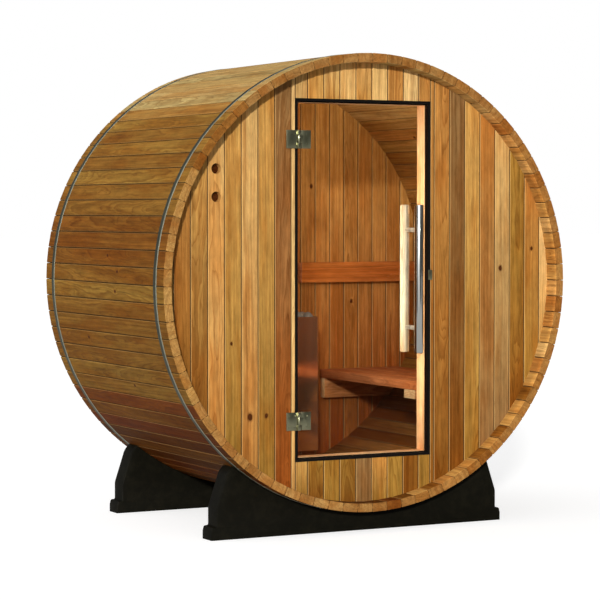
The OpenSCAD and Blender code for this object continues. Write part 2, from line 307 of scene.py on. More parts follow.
def cedar(name, along, shine=0.46, end_tints=None, end_share=0.0, edge_highlight_share=0.42):
    """Oiled red cedar: yearly rings, fine fibres, streaks and knots, with its grain along an axis."""
    wood = Finish(name)
    place = wood.node("ShaderNodeAttribute", {"attribute_name": "log_place"}, {}, "Vector")
    tint = wood.node("ShaderNodeAttribute", {"attribute_name": "tint"}, {}, "Color")
    knot = wood.node("ShaderNodeAttribute", {"attribute_name": "knot_place"}, {}, "Vector")
    knot_r = wood.node("ShaderNodeVectorMath", {"operation": "LENGTH"}, {0: knot}, "Value")
    knot_r = knot_r + wood.cloud(place, 55, 3) * 0.6 - 0.3
    swirl = 1 / (1 + knot_r * knot_r * 0.6)
    flat = wood.node("ShaderNodeVectorMath", {"operation": "MULTIPLY"}, {0: place, 1: (1, 1, 0)})
    ring_r = wood.node("ShaderNodeVectorMath", {"operation": "LENGTH"}, {0: flat}, "Value")
    drift = wood.cloud(wood.stretched(place, (1, 1, 0.22)), 9, 3, 0.55)
    ripple = wood.cloud(wood.stretched(place, (1, 1, 0.14)), 34, 2)
    ring_r = ring_r + drift * 0.03 + ripple * 0.006 + swirl * 0.012
    years = wood.node("ShaderNodeTexNoise", {"noise_dimensions": "1D"},
                      {"W": ring_r * 70, "Scale": 1.0, "Detail": 2.0})
    rings = ring_r * 260 + years * 3.5
    late = wood.node("ShaderNodeMath", {"operation": "FRACT"}, {0: rings})
    late = late ** 3 * (1 - wood.fade(late, 0.9, 1.0))
    broad = wood.fade(years, 0.42, 0.66)
    fibres = wood.cloud(wood.stretched(place, (1, 1, 0.02)), 900, 3, 0.65)
    streaks = wood.cloud(wood.stretched(place, (1, 1, 0.025)), 110, 3, 0.6)
    patches = wood.cloud(wood.stretched(place, (1, 1, 0.2)), 11, 3, 0.6)
    mottle = wood.cloud(wood.stretched(place, (1, 1, 0.3)), 42, 4, 0.7)
    facing = wood.node("ShaderNodeTexCoord", {}, {}, "Normal")
    ends = wood.node("ShaderNodeVectorMath", {"operation": "DOT_PRODUCT"},
                     {0: facing, 1: along}, "Value")
    ends = wood.fade(wood.node("ShaderNodeMath", {"operation": "ABSOLUTE"}, {0: ends}), 0.75, 0.95)
    edge = wood.node("ShaderNodeAttribute", {"attribute_name": "edge"}, {}, "Fac")
    # Each chamfer gets a painted highlight on its outer part and painted shade deep in the joint.
    edge_highlight = wood.fade(edge, 0.02, 0.35) * (1 - ends)
    joint_shade = wood.fade(edge, 0.5, 0.8) * (1 - ends)
    if end_tints:
        end_pale = wood.node("ShaderNodeAttribute", {"attribute_name": "tint"}, {}, "Alpha")
        tint = wood.blend(tint, wood.blend(*end_tints, end_pale), ends * end_share)
    dark = wood.blend(tint, (0.42, 0.27, 0.17, 1), 1.0, "MULTIPLY")
    warm = wood.blend(tint, (0.80, 0.60, 0.42, 1), 1.0, "MULTIPLY")
    colour = wood.blend(tint, warm, wood.fade(patches, 0.40, 0.66) * 0.8)
    colour = wood.blend(colour, dark, broad * 0.40)
    colour = wood.blend(colour, dark, late * 0.8)
    tone = -0.26 + streaks * 1.10 + fibres * 0.54 + mottle * 0.90
    colour = wood.brightened(colour, tone)
    colour = wood.blend(colour, paint(236, 196, 130), edge_highlight * edge_highlight_share)
    colour = wood.blend(colour, paint(46, 24, 8), joint_shade * 0.85)
    fleck = wood.fade(wood.cloud(wood.stretched(place, (1, 1, 0.08)), 260, 1), 0.70, 0.80)
    colour = wood.blend(colour, dark, fleck * 0.5)
    colour = wood.blend(colour, paint(92, 44, 16), wood.fade(1.7 - knot_r, 0.0, 1.0) * 0.6)
    heart = wood.blend(paint(34, 16, 8), paint(96, 50, 22), wood.cloud(place, 300, 2))
    colour = wood.blend(colour, heart, wood.fade(1.05 - knot_r, 0.0, 0.25))
    pores = wood.fade(wood.cloud(place, 1500, 2), 0.52, 0.66) * ends
    colour = wood.blend(colour, dark, pores * 0.45)
    height = fibres * 0.7 + streaks * 0.5 + late * 0.6 - pores * 0.8
    wood.surface({
        "Base Color": colour,
        "Roughness": shine + fibres * 0.18 + ends * 0.2 - late * 0.08,
        "Normal": wood.relief(height, 0.0006, 0.55),
        "Specular IOR Level": 0.06,
        "Specular Tint": (1.0, 0.70, 0.38, 1)})
    return wood.material


def join_boards(boards):
    """Puts the boards of one piece together in one bmesh."""
    whole = bmesh.new()
    for board in boards:
        held = bpy.data.meshes.new("held")
        board.to_mesh(held)
        board.free()
        whole.from_mesh(held)
        bpy.data.meshes.remove(held)
    return whole


def extrude_profile(corners, place, push):
    """A board from the corners of its end. place() turns one corner into a point."""
    shape = bmesh.new()
    edge = shape.verts.layers.float.new("edge")
    end = shape.faces.new([shape.verts.new(place(*c)) for c in corners])
    top = max(depth for x, depth in corners)
    for v, (x, depth) in zip(end.verts, corners):
        v[edge] = float(0 < depth < top)
    pushed = bmesh.ops.extrude_face_region(shape, geom=[end])
    moved = [v for v in pushed["geom"] if isinstance(v, bmesh.types.BMVert)]
    bmesh.ops.translate(shape, verts=moved, vec=push)
    bmesh.ops.recalc_face_normals(shape, faces=shape.faces)
    return shape


panel_count = 12
staves_per_panel = 7
stave_count = panel_count * staves_per_panel
stave_turn = 2 * math.pi / stave_count
stave_t = 0.035
stave_end_round = 0.0008
stave_apothem = barrel_r * math.cos(stave_turn / 2)
stave_w = 2 * barrel_r * math.sin(stave_turn / 2)
front_y = first_panel_low.y
back_y = first_panel_high.y
stave_profile = plank_profile(-stave_w / 2, stave_w / 2, stave_t, chamfer=0.0034, gap=0.0007,
                              tongue=0.0016, taper=1 / stave_apothem, cuts=1)
stave_cedar = cedar("stave_cedar", (0, 1, 0), shine=0.50, end_share=0.75, edge_highlight_share=0.16,
                    end_tints=(paint(144, 91, 38), paint(220, 178, 108)))
# Stave shades are chosen by height: paler at the top, partly weathering and partly painted sheen, and
# darker underneath as painted shade.
stave_tones_lit_by_height = (
    (0.80, ("straw", "weathered_and_painted_sheen", "golden", "weathered_and_painted_sheen", "weathered_and_painted_sheen")),
    (0.35, ("olive", "olive", "golden", "olive", "brown")),
    (-0.48, ("olive", "brown", "brown", "olive", "brown")),
    (-1.1, ("dark", "rust", "dark", "brown", "dark")))
shaded_choice = ("golden", "straw", "golden", "amber", "brown")

for panel in range(panel_count):
    boards = []
    for k in range(staves_per_panel):
        number = panel * staves_per_panel + k
        log = random.Random(500 + number)
        turn = (number + 0.5) * stave_turn
        out = Vector((math.cos(turn), 0, math.sin(turn)))
        round_way = Vector((-math.sin(turn), 0, math.cos(turn)))
        stave = extrude_profile(
            stave_profile,
            lambda x, depth: (out * (stave_apothem - depth) + round_way * x
                              + Vector((0, front_y, barrel_z))),
            (0, back_y - front_y, 0))
        rims = [e for e in stave.edges if abs(e.verts[0].co.y - e.verts[1].co.y) < 1e-6
                and e.calc_length() > stave_w / 3]
        soften(stave, rims, stave_end_round, 1)
        words = next(choice for lowest, choice in stave_tones_lit_by_height if out.z > lowest)
        base = Vector(cedars[log.choice(words)])
        other = Vector(cedars[log.choice(words)])
        # The colour is also scaled down towards the bottom of the barrel as painted shade.
        base = base.lerp(other, 0.4) * (0.84 + 0.10 * out.z)
        tints = (base * log.uniform(0.9, 1.1), base.lerp(other, 0.25))
        if out.x > 0.2 and out.z < 0.8:
            tints = (Vector(cedars[log.choice(shaded_choice)]), tints[1])
        knot = None
        if log.random() < 0.25:
            spot = Vector((0, 0, barrel_z)) + out * barrel_r
            knot = ((spot.dot(round_way) + log.uniform(-0.02, 0.02), log.uniform(-0.5, 0.5)), 0.006)
        if out.z > 0.5:
            end_pale = log.uniform(0.0, 0.14)
        elif out.x > 0:
            end_pale = log.choice((0.0, 0.3))
        else:
            end_pale = log.uniform(0.35, 0.72)
        grain(stave, round_way, out, (0, 1, 0), log, tints, knot, end_pale)
        boards.append(stave)
    add_piece(f"staves_{panel + 1:02d}", join_boards(boards), stave_cedar, "barrel",
              [f"stave_panel_{panel + 1:02d}"])

# ---- End walls ----
# Each end is closed by upright cedar boards 38 mm thick, tongued together, with a V along each
# joint on both faces. Their ends are cut to the curve of a groove round the staves; the staves are left
# uncut.

board_pitch = 0.073
wall_left_low, wall_left_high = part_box("front_wall_left")
wall_y = wall_left_low.y
wall_t = wall_left_high.y - wall_left_low.y
groove_r = -wall_left_low.x
door_edge_x = -wall_left_high.x
over_door_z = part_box("front_wall_over_door")[0].z
under_door_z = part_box("front_wall_under_door")[1].z
last_board_x = groove_r - 0.002


def wall_z(x, side):
    return barrel_z + side * math.sqrt(max(groove_r ** 2 - x ** 2, 0.0))


def wall_board(left, right, y, low_z, high_z, log, tints, knot=None):
    """One upright board. Its ends follow the groove, or a level cut at the doorway."""
    corners = plank_profile(left, right, wall_t, chamfer=0.0030, gap=0.0009, tongue=0.006)
    board = extrude_profile(corners, lambda x, depth: (x, y + depth, 0.0), (0, 0, 1))
    for v in board.verts:
        x = max(min(v.co.x, last_board_x), -last_board_x)
        if v.co.z > 0.5:
            v.co.z = high_z or wall_z(x, 1)
        else:
            v.co.z = low_z or wall_z(x, -1)
    grain(board, (1, 0, 0), (0, 1, 0), (0, 0, 1), log, tints, knot)
    return board


def shades(words, log):
    """Lower and upper colour of a board from one or two words."""
    low_word, high_word = (words.split() * 2)[:2]
    even = log.uniform(0.94, 1.06)
    return Vector(cedars[low_word]) * even, Vector(cedars[high_word]) * even


front_cedar = cedar("front_cedar", (0, 0, 1), 0.42)
side_boards = {
    -12: "olive golden", -11: "brown amber", -10: "brown golden", -9: "amber straw", -8: "olive golden",
    -7: "amber straw", -6: "olive golden", -5: "red grey", -4: "straw pale",
    4: "brown amber", 5: "brown amber", 6: "brown grey", 7: "olive golden", 8: "grey amber",
    9: "grey straw", 10: "brown olive", 11: "olive amber", 12: "golden pale"}
over_door_boards = {
    -4: "straw", -3: "golden", -2: "golden straw", -1: "straw", 0: "golden straw", 1: "straw",
    2: "amber", 3: "pale", 4: "amber"}
under_door_boards = {
    -4: "olive golden", -3: "brown olive", -2: "olive", -1: "brown olive", 0: "grey", 1: "olive golden",
    2: "olive", 3: "brown", 4: "olive"}
board_knots = {
    -8: (0.77, 0.005), -7: (0.48, 0.011), -6: (0.482, 0.007), 9: (1.05, 0.008), 11: (1.13, 0.006)}
vent_low, vent_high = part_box("vent_plugs")
vent_x = (vent_low.x + vent_high.x) / 2
vent_r = 0.0205
vent_heights = (vent_low.z + vent_r, vent_high.z - vent_r)


def drill(board, x, heights, radius):
    """Drills round holes through a board. Its new corners need their grain written again."""
    held = bpy.data.meshes.new("held")
    board.to_mesh(held)
    board.free()
    blank = bpy.data.objects.new("blank", held)
    cutter = bmesh.new()
    for z in heights:
        turn = Matrix.Translation((x, wall_y + wall_t / 2, z)) @ Matrix.Rotation(math.pi / 2, 4, "X")
        bmesh.ops.create_cone(cutter, cap_ends=True, segments=48, radius1=radius, radius2=radius,
                              depth=wall_t * 2, matrix=turn)
    cutter_mesh = bpy.data.meshes.new("cutter")
    cutter.to_mesh(cutter_mesh)
    cutter.free()
    tool = bpy.data.objects.new("tool", cutter_mesh)
    bpy.context.scene.collection.objects.link(blank)
    bpy.context.scene.collection.objects.link(tool)
    cut = blank.modifiers.new("cut", "BOOLEAN")
    cut.operation = "DIFFERENCE"
    cut.solver = "EXACT"
    cut.object = tool
    done = bpy.data.meshes.new_from_object(
        blank.evaluated_get(bpy.context.evaluated_depsgraph_get()))
    shape = bmesh.new()
    shape.from_mesh(done)
    bpy.data.objects.remove(blank)
    bpy.data.objects.remove(tool)
    return shape


for side, node in ((-1, "front_wall_left"), (1, "front_wall_right")):
    boards = []
    for step in range(4, 13):
        number = side * step
        log = random.Random(900 + number)
        near = door_edge_x if step == 4 else (step - 0.5) * board_pitch
        far = min((step + 0.5) * board_pitch, last_board_x)
        left, right = sorted((side * near, side * far))
        knot = None
        if number in board_knots:
            knot_z, knot_size = board_knots[number]
            knot = ((number * board_pitch + log.uniform(-0.015, 0.015), knot_z), knot_size)
        tints = shades(side_boards[number], log)
        board = wall_board(left, right, wall_y, None, None, log, tints, knot)
        if left < vent_x < right:
            board = drill(board, vent_x, vent_heights, vent_r)
            grain(board, (1, 0, 0), (0, 1, 0), (0, 0, 1), log, tints)
        boards.append(board)
    add_piece("boards_left" if side < 0 else "boards_right", join_boards(boards), front_cedar,
              "barrel", [node])

for node, words, low_z, high_z, first_log in (
        ("front_wall_over_door", over_door_boards, over_door_z, None, 1730),
        ("front_wall_under_door", under_door_boards, None, under_door_z, 2000)):
    boards = []
    for number in range(-4, 5):
        log = random.Random(first_log + number)
        left = max((number - 0.5) * board_pitch, -door_edge_x)
        right = min((number + 0.5) * board_pitch, door_edge_x)
        boards.append(wall_board(left, right, wall_y, low_z, high_z, log,
                                 shades(words[number], log)))
    add_piece(node.replace("front_wall", "boards"), join_boards(boards), front_cedar,
              "barrel", [node])

back_cedar = cedar("back_cedar", (0, 0, 1), 0.46)
# Each back board runs from a redder, darker shade at its foot to a lighter one at its top: painted
# shade low down and painted light higher up.
back_boards = ("rust amber", "rust golden", "red amber", "rust golden", "red golden", "rust amber")
back_face_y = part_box("back_wall")[0].y
boards = []
for number in range(-12, 13):
    log = random.Random(1300 + number)
    left = max((number - 0.5) * board_pitch, -last_board_x)
    right = min((number + 0.5) * board_pitch, last_board_x)
    words = log.choice(back_boards)
    knot = None
    if log.random() < 0.4:
        knot = ((number * board_pitch + log.uniform(-0.02, 0.02), log.uniform(0.5, 1.5)), 0.007)
    boards.append(wall_board(left, right, back_face_y, None, None, log, shades(words, log), knot))
add_piece("boards_back", join_boards(boards), back_cedar, "barrel", ["back_wall"])

# ---- Vent plugs ----
# Two turned wooden discs close the round vents in the front wall. They show end grain painted dark,
# as painted shade in their holes, with a softened edge, and sit a little way down their holes.

plug_gap = 0.0002
plug_round = 0.002
# The dark end tint and the dark board shade are painted shade for the inside of the holes.
plug_cedar_in_painted_shade = cedar("plug_cedar_in_painted_shade", (0, 1, 0), shine=0.5, end_share=0.85,
                   end_tints=(paint(70, 36, 14),) * 2)
plugs = []
for z in vent_heights:
    plug = bmesh.new()
    turn = Matrix.Translation((vent_x, (vent_low.y + vent_high.y) / 2, z))
    turn = turn @ Matrix.Rotation(math.pi / 2, 4, "X")
    bmesh.ops.create_cone(plug, cap_ends=True, segments=48, radius1=vent_r - plug_gap,
                          radius2=vent_r - plug_gap, depth=vent_high.y - vent_low.y, matrix=turn)
    soften(plug, [e for e in plug.edges if e.calc_face_angle(0) > 1], plug_round, 3)
    log = random.Random(int(z * 100))
    grain(plug, (1, 0, 0), (0, 0, 1), (0, 1, 0), log, shades("dark", log))
    plugs.append(plug)
add_piece("turned_plugs", join_boards(plugs), plug_cedar_in_painted_shade, "barrel", ["vent_plugs"])

# ---- Hoops ----
# A flat band of dull stainless steel, 30 mm wide, is drawn tight round the staves near each end.
# It bends at each stave joint, and its long edges are rounded; a painted highlight runs along its front
# edge.

steel = Finish("hoop_steel")
where = steel.place()
long_brush = steel.cloud(steel.stretched(where, (3, 1400, 3)), 1, 3, 0.6)
weathered = steel.cloud(where, 14, 5, 0.6)
spots = steel.fade(steel.cloud(where, 120, 3), 0.62, 0.75)
band_colour = steel.blend(paint(112, 114, 98), paint(70, 74, 60), weathered)
band_colour = steel.blend(band_colour, paint(52, 46, 32), spots * 0.4)
# The front part of each band is painted light: a painted highlight.
across = steel.node("ShaderNodeAttribute", {"attribute_name": "across"}, {}, "Fac")
band_colour = steel.blend(paint(196, 198, 176), band_colour, steel.fade(across, 0.16, 0.34))
steel.surface({
    "Base Color": steel.brightened(band_colour, 0.85 + long_brush * 0.3),
    "Metallic": 1.0 - spots * 0.4,
    "Roughness": 0.30 + weathered * 0.18 + spots * 0.2,
    "Normal": steel.relief(long_brush, 0.0002, 0.4)})

for hoop in ("front_hoop", "rear_hoop"):
    low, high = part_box(hoop)
    shape = bmesh.new()
    inner = barrel_r
    outer = high.x
    round_off = 0.0004
    share_across = shape.verts.layers.float.new("across")
    section = [
        (low.y, inner), (low.y, outer - round_off), (low.y + round_off, outer),
        (high.y - round_off, outer), (high.y, outer - round_off), (high.y, inner)]
    corners = [shape.verts.new((r, y, barrel_z)) for y, r in section]
    for v in corners:
        v[share_across] = (v.co.y - low.y) / (high.y - low.y)
    loop = [shape.edges.new((a, b)) for a, b in zip(corners, corners[1:] + corners[:1])]
    bmesh.ops.spin(shape, geom=corners + loop, cent=(0, 0, barrel_z), axis=(0, 1, 0),
                   angle=2 * math.pi, steps=stave_count, use_merge=True)
    bmesh.ops.recalc_face_normals(shape, faces=shape.faces)
    add_piece(hoop + "_band", shape, steel.material, "barrel", [hoop], 3)

# ---- Door frame ----
# A pale softwood frame lines the doorway behind the rubber strip: two uprights of full height,
# with a head and a sill between them. Its colour is pushed brighter than white as painted light.


def squared_board(low, high, along, log, tints, edge=0.0015):
    """A sawn board between two corners with softened edges and its grain along one axis."""
    board = bmesh.new()
    size = Vector(high) - Vector(low)
    middle = (Vector(high) + Vector(low)) / 2
    bmesh.ops.create_cube(board, size=1,
                          matrix=Matrix.Translation(middle) @ Matrix.Diagonal((*size, 1)))
    soften(board, list(board.edges), edge, 2)
    axes = [Vector((1, 0, 0)), Vector((0, 1, 0)), Vector((0, 0, 1))]
    grain(board, axes[(along + 1) % 3], axes[(along + 2) % 3], axes[along], log, tints)
    return board


# The frame's colour is scaled past white: painted light on the frame.
frame_tints_painted_light = (Vector(paint(255, 212, 158)) * 1.3, Vector(paint(255, 216, 166)) * 1.3)
for node, along, seed in (("door_jamb_left", 2, 100), ("door_jamb_right", 2, 107),
                          ("door_head", 0, 63), ("door_sill", 0, 63)):
    low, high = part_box(node)
    log = random.Random(seed)
    axis = tuple(float(i == along) for i in range(3))
    frame_wood = cedar(node + "_wood", axis, 0.5)
    board = squared_board(low, high, along, log, frame_tints_painted_light)
    add_piece(node + "_board", board, frame_wood, "barrel", [node])

# ---- Door seal ----
# A black rubber strip is pressed into the edge of the doorway all round, flush with the boards.

rubber = Finish("seal_rubber")
where = rubber.place()
rub = rubber.cloud(where, 60, 4)
grit = rubber.cloud(where, 1200, 2)
seal_colour = rubber.blend(paint(7, 6, 5), paint(16, 14, 11), rub)
rubber.surface({
    "Base Color": rubber.blend(seal_colour, paint(40, 36, 30), rubber.fade(grit, 0.62, 0.8) * 0.2),
    "Roughness": 0.45 + rub * 0.2,
    "Normal": rubber.relief(grit, 0.0002, 0.5),
    "Specular IOR Level": 0.12})
seal = frame["nodes"]["door_seal"]
seal.data.materials.clear()
seal.data.materials.append(rubber.material)

# ---- Hinges and strike plate ----
# Each hinge is cut from thick stainless plate: a leaf screwed to the boards, two knuckles with a
# pin, and a clamp bolted through the glass. A small strike plate sits at the free edge.

polished = Finish("hinge_steel")
where = polished.place()
fine_brush = polished.cloud(polished.stretched(where, (1, 1, 40)), 160, 3, 0.6)
handled = polished.cloud(where, 45, 4, 0.6)
# The steel's base colour is tinted olive and beige as painted reflection.
hinge_colour = polished.blend(paint(182, 180, 150), paint(140, 142, 112), handled)
polished.surface({
    "Base Color": polished.brightened(hinge_colour, 0.9 + fine_brush * 0.2),
    "Metallic": 1.0,
    "Roughness": 0.20 + handled * 0.16 + fine_brush * 0.06,
    "Normal": polished.relief(fine_brush, 0.0001, 0.4)})


def plate(shape, low, high, edge):
    """Adds a plate with softened edges to a bmesh."""
    size = Vector(high) - Vector(low)
    middle = (Vector(high) + Vector(low)) / 2
    made = bmesh.ops.create_cube(shape, size=1,
                                 matrix=Matrix.Translation(middle) @ Matrix.Diagonal((*size, 1)))
    soften(shape, list({e for v in made["verts"] for e in v.link_edges}), edge, 2)


def bar(shape, middle, axis, radius, length, edge, sides=32):
    """Adds a round bar with softened ends to a bmesh."""
    turn = Vector(axis).to_track_quat("Z", "Y").to_matrix().to_4x4()
    made = bmesh.ops.create_cone(shape, cap_ends=True, segments=sides, radius1=radius,
                                 radius2=radius, depth=length,
                                 matrix=Matrix.Translation(middle) @ turn)
    ends = [e for v in made["verts"] for e in v.link_edges if e.calc_face_angle(0) > 1]
    soften(shape, list(set(ends)), edge, 2)


def screw(shape, x, y, z, radius):
    """Adds a round screw head with a round socket sunk in it, facing the front."""
    turn = Matrix.Translation((x, y - 0.0006, z)) @ Matrix.Rotation(math.pi / 2, 4, "X")
    made = bmesh.ops.create_cone(shape, cap_ends=True, segments=24, radius1=radius,
                                 radius2=radius * 0.8, depth=0.0012, matrix=turn)
    face = min((f for v in made["verts"] for f in v.link_faces),
               key=lambda f: f.calc_center_median().y)
    bmesh.ops.inset_region(shape, faces=[face], thickness=radius * 0.35)
    sunk = bmesh.ops.extrude_face_region(shape, geom=[face])
    moved = [v for v in sunk["geom"] if isinstance(v, bmesh.types.BMVert)]
    bmesh.ops.translate(shape, verts=moved, vec=(0, 0.0009, 0))
    bmesh.ops.delete(shape, geom=[face], context="FACES_ONLY")


pin_x, pin_y = frame["joints"][0]["pos_m"][:2]
pin_r = 0.0025
knuckle_r = 0.005
leaf_knuckle_h = 0.020
clamp_knuckle_h = 0.030
leaf_t = 0.005
clamp_t = 0.006
clamp_back_x = -0.288
bolt_rise = 0.0194
for level in ("upper", "lower"):
    low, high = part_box(level + "_hinge_leaf")
    shape = bmesh.new()
    middle = Vector((pin_x, pin_y, (low.z + high.z) / 2))
    leaf_edge = pin_x - 0.006
    plate(shape, (low.x, wall_y - leaf_t, low.z), (leaf_edge, wall_y, high.z), 0.0012)
    for foot in (low.z, high.z - leaf_knuckle_h):
        plate(shape, (leaf_edge - 0.001, low.y, foot), (high.x, wall_y, foot + leaf_knuckle_h), 0.001)
    bar(shape, middle, (0, 0, 1), pin_r, high.z - low.z + 0.001, 0.0005)
    for x in (low.x + 0.011, leaf_edge - 0.012):
        for z in (low.z + 0.014, high.z - 0.014):
            screw(shape, x, wall_y - leaf_t, z, 0.0048)
    add_piece(level + "_leaf_plate", shape, polished.material, "barrel",
              [level + "_hinge_leaf"])

    low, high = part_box(level + "_hinge_clamp")
    glass_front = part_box("door_glass")[0].y
    glass_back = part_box("door_glass")[1].y
    middle_z = (low.z + high.z) / 2
    arm_low = middle_z - clamp_knuckle_h / 2
    arm_high = middle_z + clamp_knuckle_h / 2
    plate_x = pin_x + 0.0135
    bolt_x = plate_x + 0.026
    bolt_y = (glass_front + glass_back) / 2
    shape = bmesh.new()
    plate(shape, (plate_x, glass_front - clamp_t, low.z), (high.x, glass_front, high.z), 0.0012)
    plate(shape, (clamp_back_x, glass_back, low.z), (high.x, high.y, high.z), 0.0008)
    bar(shape, (pin_x, pin_y, middle_z), (0, 0, 1), knuckle_r, clamp_knuckle_h, 0.0006)
    plate(shape, (pin_x, pin_y - pin_r, arm_low), (plate_x + 0.004, wall_y, arm_high), 0.0005)
    for bolt_z in (middle_z - bolt_rise, middle_z + bolt_rise):
        bar(shape, (bolt_x, bolt_y, bolt_z), (0, 1, 0), 0.004, 0.010, 0.0002)
        screw(shape, bolt_x, glass_front - clamp_t, bolt_z, 0.0052)
    add_piece(level + "_clamp_plates", shape, polished.material, "door",
              [level + "_hinge_clamp"])

low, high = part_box("strike_plate")
shape = bmesh.new()
plate(shape, low, high, 0.0008)
for z in (low.z + 0.008, high.z - 0.008):
    screw(shape, high.x - 0.006, low.y + 0.0006, z, 0.0028)
add_piece("strike_plate_steel", shape, polished.material, "barrel", ["strike_plate"])

# ---- Glass door ----
# The door is one pane of 8 mm toughened glass with a bronze tint, hung on the two clamps.

glass = Finish("bronze_glass")
where = glass.place()
film = glass.cloud(glass.stretched(where, (1, 1, 0.5)), 7, 5, 0.6)
glass.surface({
    "Base Color": glass.blend(paint(30, 14, 5), paint(44, 22, 9), film),
    "Roughness": 0.03 + film * 0.05,
    "Alpha": 0.22,
    "IOR": 1.5,
    "Specular IOR Level": 0.18})
pane = frame["nodes"]["door_glass"]
pane.data.materials.clear()
pane.data.materials.append(glass.material)

# ---- Door handle ----
# An upright chromed tube outside and a turned pale wooden bar inside share two steel studs that
# pass through the glass.

chrome = Finish("handle_chrome")
where = chrome.place()
prints = chrome.cloud(chrome.stretched(where, (1, 1, 0.4)), 60, 4, 0.6)
drawn = chrome.cloud(chrome.stretched(where, (1, 1, 0.01)), 500, 2)
chrome.surface({
    "Base Color": chrome.blend(paint(232, 233, 230), paint(212, 214, 208), prints),
    "Metallic": 1.0,
    "Roughness": 0.07 + prints * 0.08 + drawn * 0.05,
    "Normal": chrome.relief(drawn, 0.00005, 0.3)})

low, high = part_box("outer_handle")
middle = (low + high) / 2
shape = bmesh.new()
bar(shape, middle, (0, 0, 1), (high.x - low.x) / 2, high.z - low.z, 0.004, 64)
add_piece("outer_tube", shape, chrome.material, "door", ["outer_handle"], 50)

low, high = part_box("inner_handle")
middle = (low + high) / 2
shape = bmesh.new()
bar(shape, middle, (0, 0, 1), (high.x - low.x) / 2, high.z - low.z, 0.006, 64)
# The bar's colour is pushed close to white as painted light, to make up for the shade behind the glass.
grain(shape, (1, 0, 0), (0, 1, 0), (0, 0, 1), random.Random(77),
      (paint(255, 246, 214), paint(255, 248, 220)))
add_piece("inner_bar", shape, cedar("handle_wood", (0, 0, 1), 0.4), "door",
          ["inner_handle"], 50)

stud_steel = Finish("stud_steel")
where = stud_steel.place()
turned = stud_steel.cloud(stud_steel.stretched(where, (1, 60, 1)), 90, 3)
stud_steel.surface({
    "Base Color": stud_steel.blend(paint(236, 234, 224), paint(206, 204, 192), turned),
    "Metallic": 0.75,
    "Roughness": 0.28 + turned * 0.12,
    "Normal": stud_steel.relief(turned, 0.0001, 0.3)})
studs = frame["nodes"]["handle_studs"]
studs.data.materials.clear()
studs.data.materials.append(stud_steel.material)

# ---- Bench ----
# Four sanded slats lie along the barrel on a flat batten near the front and an upright rail fixed
# to the back wall. The outer ends of both are cut to the curve of the staves.

inner_apothem = stave_apothem - stave_t
low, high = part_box("bench_slats")
slat_w = 0.089
bench_t = 0.038
slat_count = 4
slat_pitch = (high.x - low.x - slat_w) / (slat_count - 1)
bench_cedar = cedar("bench_cedar", (0, 1, 0), 0.55)
slat_tints = (paint(198, 132, 84), paint(190, 122, 78))
boards = []
for i in range(slat_count):
    log = random.Random(1700 + i)
    x = low.x + i * slat_pitch
    boards.append(squared_board((x, low.y, low.z), (x + slat_w, high.y, high.z), 1, log, slat_tints,
                                0.003))
add_piece("bench_boards", join_boards(boards), bench_cedar, "barrel", ["bench_slats"])

low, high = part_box("bench_supports")
support_cedar = cedar("support_cedar", (1, 0, 0), shine=0.55, end_share=0.8,
                      end_tints=(paint(240, 214, 164),) * 2)
support_tints = (paint(206, 150, 100), paint(196, 140, 92))
boards = []
for y, across, upright in ((low.y, slat_w, bench_t), (high.y - bench_t, bench_t, slat_w)):
    log = random.Random(1720 + len(boards))
    board = squared_board((low.x, y, high.z - upright), (high.x, y + across, high.z), 0, log,
                          support_tints, 0.002)
    for v in board.verts:
        if v.co.x > (low.x + high.x) / 2:
            reach = math.sqrt(inner_apothem ** 2 - (barrel_z - v.co.z) ** 2)
            v.co.x += reach - high.x
    boards.append(board)
add_piece("bench_battens", join_boards(boards), support_cedar, "barrel",
          ["bench_supports"])

# ---- Back braces ----
# Two flat boards are nailed across the back wall at half height, one on each side of the heater.

brace_tints = (paint(176, 102, 44), paint(184, 108, 52))
brace_cedar = cedar("brace_cedar", (1, 0, 0), shine=0.5, end_share=0.6,
                    end_tints=(paint(226, 168, 130),) * 2)
for node, seed in (("back_brace_left", 15), ("back_brace_right", 16)):
    low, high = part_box(node)
    board = squared_board(low, high, 0, random.Random(seed), brace_tints)
    for v in board.verts:
        if abs(v.co.x) > 0.6:
            v.co.x = math.copysign(math.sqrt(inner_apothem ** 2 - (barrel_z - v.co.z) ** 2), v.co.x)
    add_piece(node + "_board", board, brace_cedar, "barrel", [node])

# ---- Heater ----
# The heater is a case of polished sheet steel fixed to the back wall, with a tray in its top
# heaped with dark split stones.

mirror = Finish("heater_steel")
where = mirror.place()
press = mirror.cloud(where, 4, 3)
smear = mirror.cloud(mirror.stretched(where, (1, 1, 0.15)), 30, 4, 0.6)
mirror.surface({
    # The steel's base colour is tinted warm as painted reflection of the cedar round it.
    "Base Color": mirror.blend(paint(244, 200, 160), paint(226, 180, 140), smear),
    "Metallic": 0.92,
    "Roughness": 0.07 + smear * 0.07,
    "Normal": mirror.relief(press, 0.002, 0.1)})

low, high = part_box("heater_body")
sheet_t = 0.002
tray_h = 0.090
corner_round = 0.008
shape = bmesh.new()
size = high - low
bmesh.ops.create_cube(shape, size=1, matrix=Matrix.Translation((low + high) / 2)
                      @ Matrix.Diagonal((*size, 1)))
soften(shape, [e for e in shape.edges if abs(e.verts[0].co.z - e.verts[1].co.z) > 0.1
               and e.verts[0].co.y < (low.y + high.y) / 2], corner_round, 4)
lid = max(shape.faces, key=lambda f: f.calc_center_median().z)
bmesh.ops.inset_region(shape, faces=[lid], thickness=sheet_t)
sunk = bmesh.ops.extrude_face_region(shape, geom=[lid])
moved = [v for v in sunk["geom"] if isinstance(v, bmesh.types.BMVert)]
bmesh.ops.translate(shape, verts=moved, vec=(0, 0, -tray_h))
bmesh.ops.delete(shape, geom=[lid], context="FACES_ONLY")
add_piece("heater_case", shape, mirror.material, "barrel", ["heater_body"])

